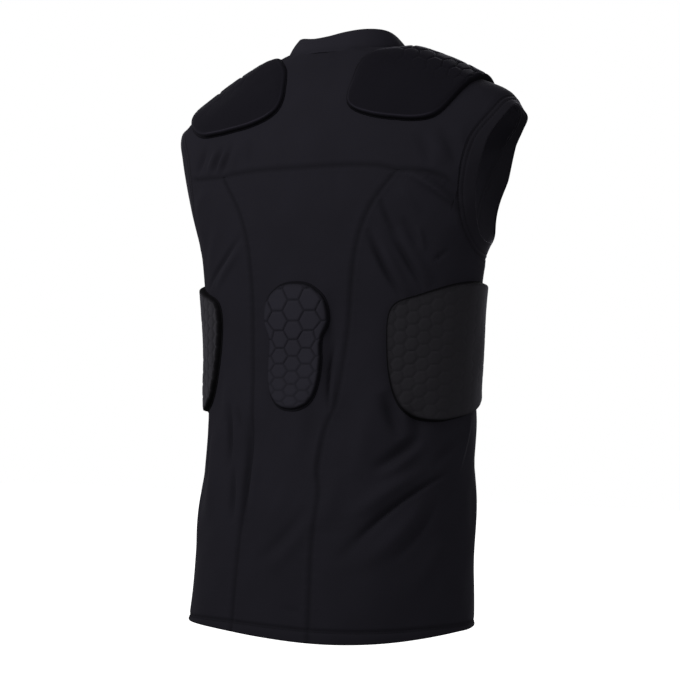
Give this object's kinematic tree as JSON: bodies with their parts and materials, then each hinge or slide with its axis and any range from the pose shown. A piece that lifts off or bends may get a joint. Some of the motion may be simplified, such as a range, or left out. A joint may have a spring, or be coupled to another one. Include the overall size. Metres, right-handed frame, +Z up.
{
  "type": "padded compression vest",
  "caption": "Sleeveless compression vest in its worn form, with honeycomb pads on the shoulders, ribs and spine.",
  "frame": {"origin": "middle of the neck, level with the points where the neckband meets the shoulders, where the vest sits on its wearer", "axes": "+Z up along the body, +X to the wearer's left, the front faces -Y and the back +Y"},
  "size_m": [0.4756, 0.2498, 0.7006],
  "materials": {
    "knit_cloth": "smooth stretch knit",
    "band_cloth": "turned and stitched stretch knit",
    "pad_cover": "knit laminated over foam cells"
  },
  "bodies": {
    "root": {"back_yoke": "knit_cloth", "back_center_panel": "knit_cloth", "back_side_panel_left": "knit_cloth", "back_side_panel_right": "knit_cloth", "front_panel": "knit_cloth", "neckband": "band_cloth", "armhole_band_left": "band_cloth", "armhole_band_right": "band_cloth", "shoulder_pad_left": "pad_cover", "shoulder_pad_right": "pad_cover", "rib_pad_left": "pad_cover", "rib_pad_right": "pad_cover", "spine_pad": "pad_cover"}
  },
  "joints": []
}
